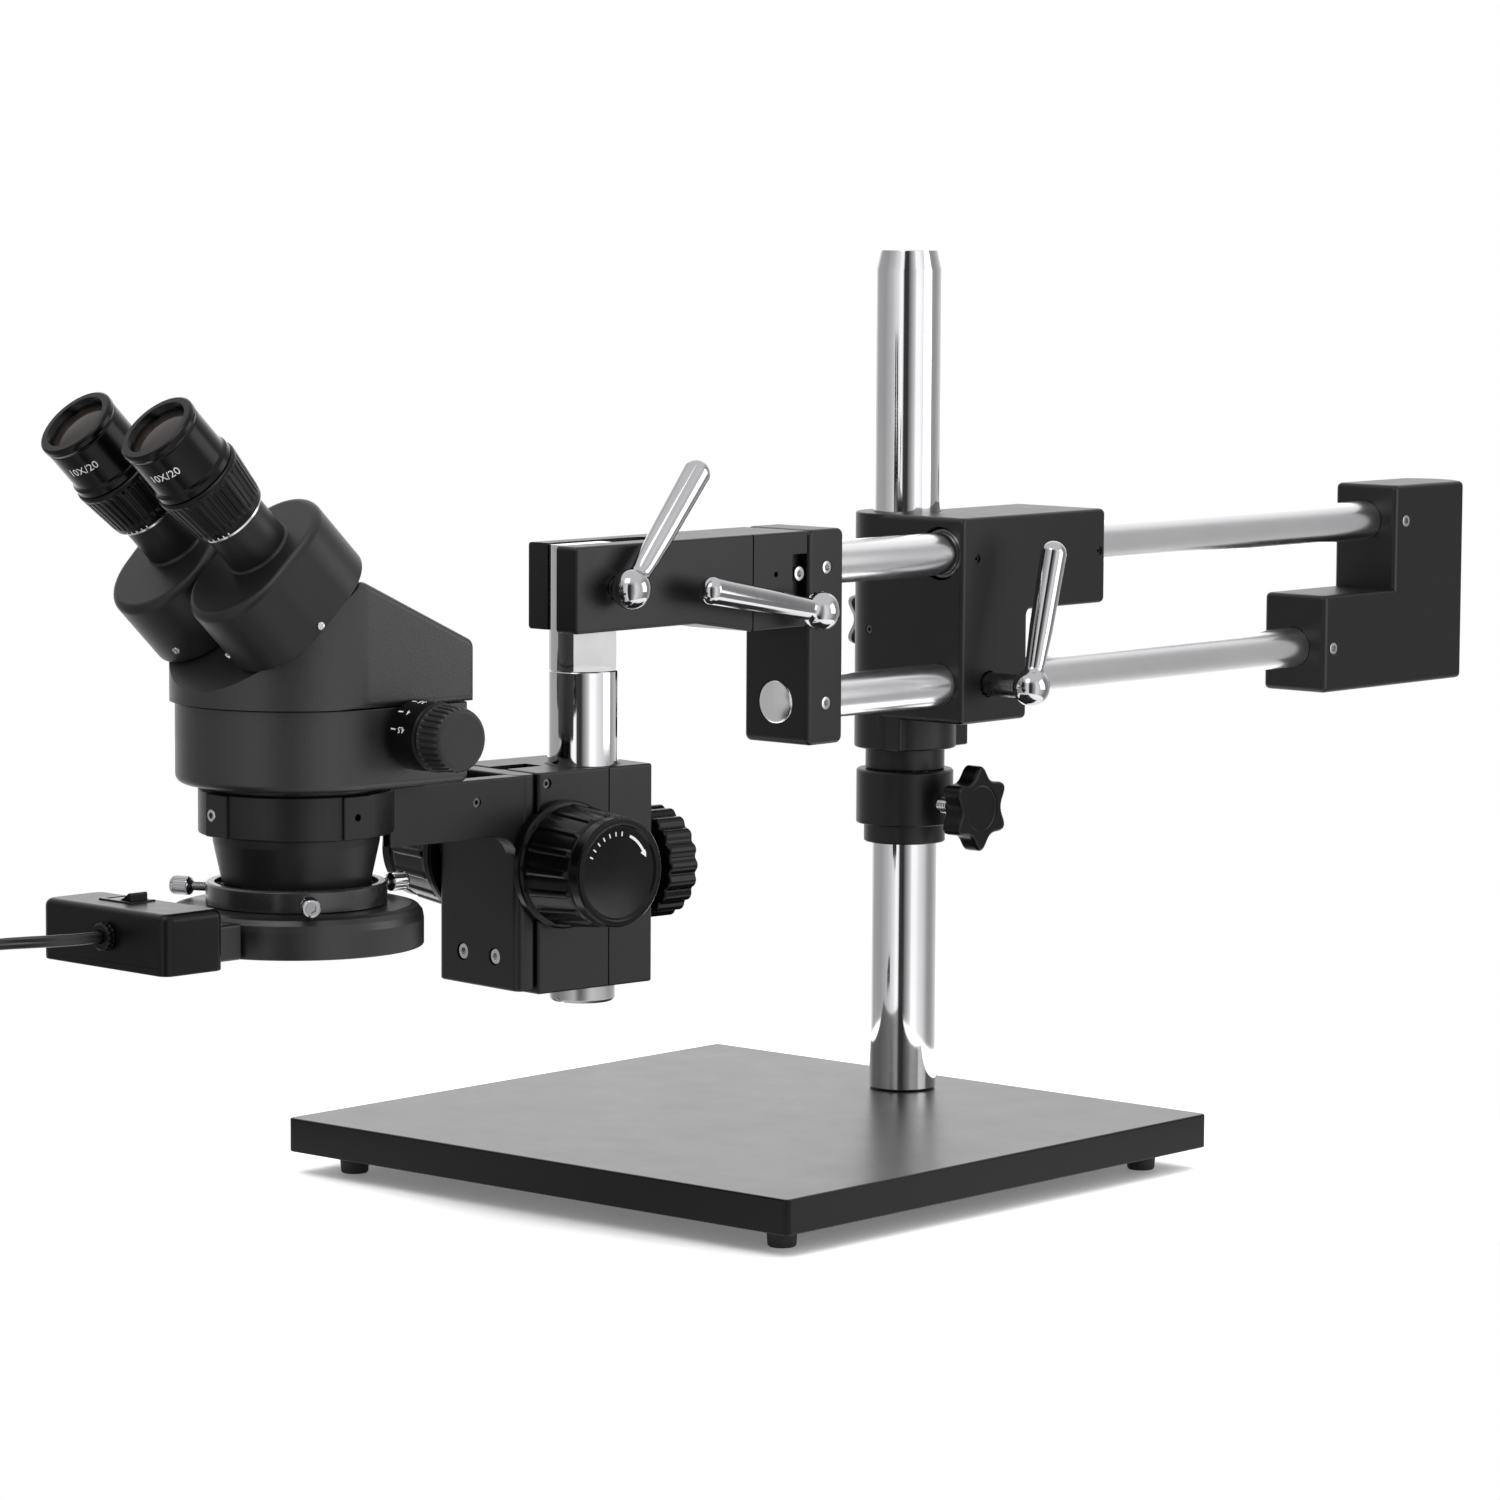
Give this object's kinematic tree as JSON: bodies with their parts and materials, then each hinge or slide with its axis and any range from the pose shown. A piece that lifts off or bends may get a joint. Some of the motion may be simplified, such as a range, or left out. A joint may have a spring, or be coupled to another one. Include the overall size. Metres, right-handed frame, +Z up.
{
  "type": "boom stand stereo microscope",
  "caption": "Binocular stereo zoom microscope with a ring light, held over the work by a double-arm boom on a pillar and a heavy base plate.",
  "frame": {"origin": "on the surface the rubber feet stand on, under the middle of the overall length from ring light to rear block, without the mains lead, and midway across the base plate", "axes": "+Z up along the pillar, +Y along the arms away from the user, +X to the user's right"},
  "size_m": [0.308, 0.9731, 0.429],
  "materials": {
    "base_plate": "black wrinkle enamel on steel plate",
    "foot": "moulded black rubber",
    "chrome": "hard chrome, polished",
    "steel": "bright turned steel",
    "black_block": "black powder coat on machined aluminium",
    "wrinkle": "black wrinkle paint on die-cast aluminium",
    "knob": "moulded black plastic",
    "gloss": "black ABS",
    "brass": "machined brass",
    "glass": "coated optical glass",
    "led": "white diffuser",
    "cord": "flat black PVC lead"
  },
  "bodies": {
    "stand": {"base_plate": "base_plate", "base_foot_1": "foot", "base_foot_2": "foot", "base_foot_3": "foot", "base_foot_4": "foot", "pillar": "chrome", "pillar_screw": "steel"},
    "collar": {"collar": "black_block"},
    "collar_knob": {"collar_knob": "knob"},
    "boom": {"boom_block": "black_block"},
    "boom_knob": {"boom_knob": "knob"},
    "arm_lock": {"arm_lock_lever": "chrome"},
    "arms": {"upper_arm": "chrome", "lower_arm": "chrome", "front_block": "black_block", "rear_block": "black_block", "front_upper_set_screw": "steel", "front_lower_set_screw": "steel", "rear_upper_set_screw": "steel", "rear_lower_set_screw": "steel"},
    "knuckle": {"knuckle_bar": "black_block"},
    "knuckle_lock": {"knuckle_lever": "chrome"},
    "tilt_lock": {"tilt_lever": "chrome"},
    "post": {"focus_post": "chrome", "post_end_ring": "chrome"},
    "focus": {"focus_block": "black_block"},
    "post_knob": {"post_clamp_knob": "knob"},
    "carriage": {"microscope_holder": "black_block", "focus_rack": "brass"},
    "focus_drive": {"pinion_shaft": "steel", "focus_knob_right": "knob", "focus_knob_left": "knob"},
    "microscope": {"lower_housing": "wrinkle", "upper_housing": "wrinkle", "objective_cone": "black_block", "objective_lens": "glass", "light_adapter": "black_block", "light_housing": "gloss", "led_ring": "led", "control_box": "gloss", "cable_gland": "gloss", "light_lead": "cord", "lead_coil": "cord", "mains_plug": "gloss"},
    "zoom_drive": {"zoom_shaft": "steel", "zoom_knob_right": "knob", "zoom_knob_left": "knob"},
    "zoom_cell": {"zoom_lens_cell": "steel"},
    "prism_right": {"prism_box_right": "wrinkle", "prism_right": "glass"},
    "prism_left": {"prism_box_left": "wrinkle", "prism_left": "glass"},
    "eye_right": {"diopter_ring_right": "knob", "eyepiece_right": "knob"},
    "eye_left": {"diopter_ring_left": "knob", "eyepiece_left": "knob"},
    "thumb_1": {"thumb_screw_1": "steel"},
    "thumb_2": {"thumb_screw_2": "steel"},
    "thumb_3": {"thumb_screw_3": "steel"},
    "rocker": {"rocker_switch": "gloss"}
  },
  "joints": [
    {"name": "collar_height", "type": "slide", "parent": "stand", "child": "collar", "axis": [0, 0, 1], "range_m": [-0.06, 0.1]},
    {"name": "collar_screw", "type": "hinge", "parent": "collar", "child": "collar_knob", "pos_m": [0, 0.069, 0.165], "axis": [1, 0, 0], "range_deg": [-360, 30]},
    {"name": "boom_swing", "type": "hinge", "parent": "collar", "child": "boom", "pos_m": [0, 0.069, 0.23], "axis": [0, 0, 1], "continuous": true},
    {"name": "boom_screw", "type": "hinge", "parent": "boom", "child": "boom_knob", "pos_m": [0, 0.069, 0.249], "axis": [-0.7986, 0.6018, 0], "range_deg": [-360, 30]},
    {"name": "arm_lock_turn", "type": "hinge", "parent": "boom", "child": "arm_lock", "pos_m": [0.0512, 0.0648, 0.2254], "axis": [1, 0, 0], "range_deg": [-60, 60]},
    {"name": "arm_reach", "type": "slide", "parent": "boom", "child": "arms", "axis": [0, 1, 0], "range_m": [-0.2, 0.06]},
    {"name": "knuckle_roll", "type": "hinge", "parent": "arms", "child": "knuckle", "pos_m": [0.0405, -0.103, 0.2874], "axis": [0, 1, 0], "range_deg": [-15, 15]},
    {"name": "knuckle_lock_turn", "type": "hinge", "parent": "knuckle", "child": "knuckle_lock", "pos_m": [0.046, -0.0796, 0.2694], "axis": [1, 0, 0], "range_deg": [-45, 90]},
    {"name": "tilt_lock_turn", "type": "hinge", "parent": "knuckle", "child": "tilt_lock", "pos_m": [0.0405, -0.202, 0.2857], "axis": [1, 0, 0], "range_deg": [0, 110]},
    {"name": "head_tilt", "type": "hinge", "parent": "knuckle", "child": "post", "pos_m": [0.0405, -0.202, 0.2857], "axis": [1, 0, 0], "range_deg": [-15, 15]},
    {"name": "head_swing", "type": "hinge", "parent": "post", "child": "focus", "pos_m": [0.0405, -0.202, 0.16], "axis": [0, 0, 1], "range_deg": [-20, 20]},
    {"name": "post_screw", "type": "hinge", "parent": "focus", "child": "post_knob", "pos_m": [0.04416, -0.17222, 0.161], "axis": [0.1219, 0.9925, 0], "range_deg": [-360, 30]},
    {"name": "focus_travel", "type": "slide", "parent": "focus", "child": "carriage", "axis": [0, 0, 1], "range_m": [-0.018, 0.018]},
    {"name": "focus_turn", "type": "hinge", "parent": "focus", "child": "focus_drive", "pos_m": [0.03715, -0.22929, 0.167], "axis": [0.9925, -0.1219, 0], "range_deg": [-143.5, 143.5]},
    {"name": "scope_turn", "type": "hinge", "parent": "carriage", "child": "microscope", "pos_m": [0.01229, -0.34966, 0.2], "axis": [0, 0, 1], "range_deg": [-45, 45]},
    {"name": "zoom_turn", "type": "hinge", "parent": "microscope", "child": "zoom_drive", "pos_m": [0.01489, -0.32852, 0.232], "axis": [0.9925, -0.1219, 0], "range_deg": [-135, 135]},
    {"name": "zoom_shift", "type": "slide", "parent": "microscope", "child": "zoom_cell", "axis": [0, 0, 1], "range_m": [-0.0062, 0.0062]},
    {"name": "ipd_right", "type": "hinge", "parent": "microscope", "child": "prism_right", "pos_m": [0.03621, -0.3781, 0.27859], "axis": [-0.0862, -0.7018, 0.7071], "range_deg": [-40, 5]},
    {"name": "ipd_left", "type": "hinge", "parent": "microscope", "child": "prism_left", "pos_m": [-0.01779, -0.37147, 0.27859], "axis": [-0.0862, -0.7018, 0.7071], "range_deg": [-5, 40]},
    {"name": "diopter_right_turn", "type": "hinge", "parent": "prism_right", "child": "eye_right", "pos_m": [0.03336, -0.41195, 0.3295], "axis": [-0.0862, -0.7018, 0.7071], "range_deg": [-100, 100]},
    {"name": "diopter_left_turn", "type": "hinge", "parent": "prism_left", "child": "eye_left", "pos_m": [-0.02321, -0.405, 0.3295], "axis": [-0.0862, -0.7018, 0.7071], "range_deg": [-100, 100]},
    {"name": "thumb_1_turn", "type": "hinge", "parent": "microscope", "child": "thumb_1", "pos_m": [0.05169, -0.38045, 0.1623], "axis": [0.788, -0.6157, 0], "range_deg": [-360, 30]},
    {"name": "thumb_2_turn", "type": "hinge", "parent": "microscope", "child": "thumb_2", "pos_m": [0.01925, -0.30015, 0.1623], "axis": [0.1392, 0.9903, 0], "range_deg": [-360, 30]},
    {"name": "thumb_3_turn", "type": "hinge", "parent": "microscope", "child": "thumb_3", "pos_m": [-0.03406, -0.36839, 0.1623], "axis": [-0.9272, -0.3746, 0], "range_deg": [-360, 30]},
    {"name": "rocker_tip", "type": "hinge", "parent": "microscope", "child": "rocker", "pos_m": [-0.0002, -0.43513, 0.1649], "axis": [0.0523, 0.9986, 0], "range_deg": [0, 10]}
  ],
  "couplings": [
    {"joint": "focus_turn", "follows": "focus_travel", "rad_per_m": -138.89},
    {"joint": "zoom_shift", "follows": "zoom_turn", "m_per_rad": 0.0026},
    {"joint": "ipd_left", "follows": "ipd_right", "ratio": -1}
  ]
}
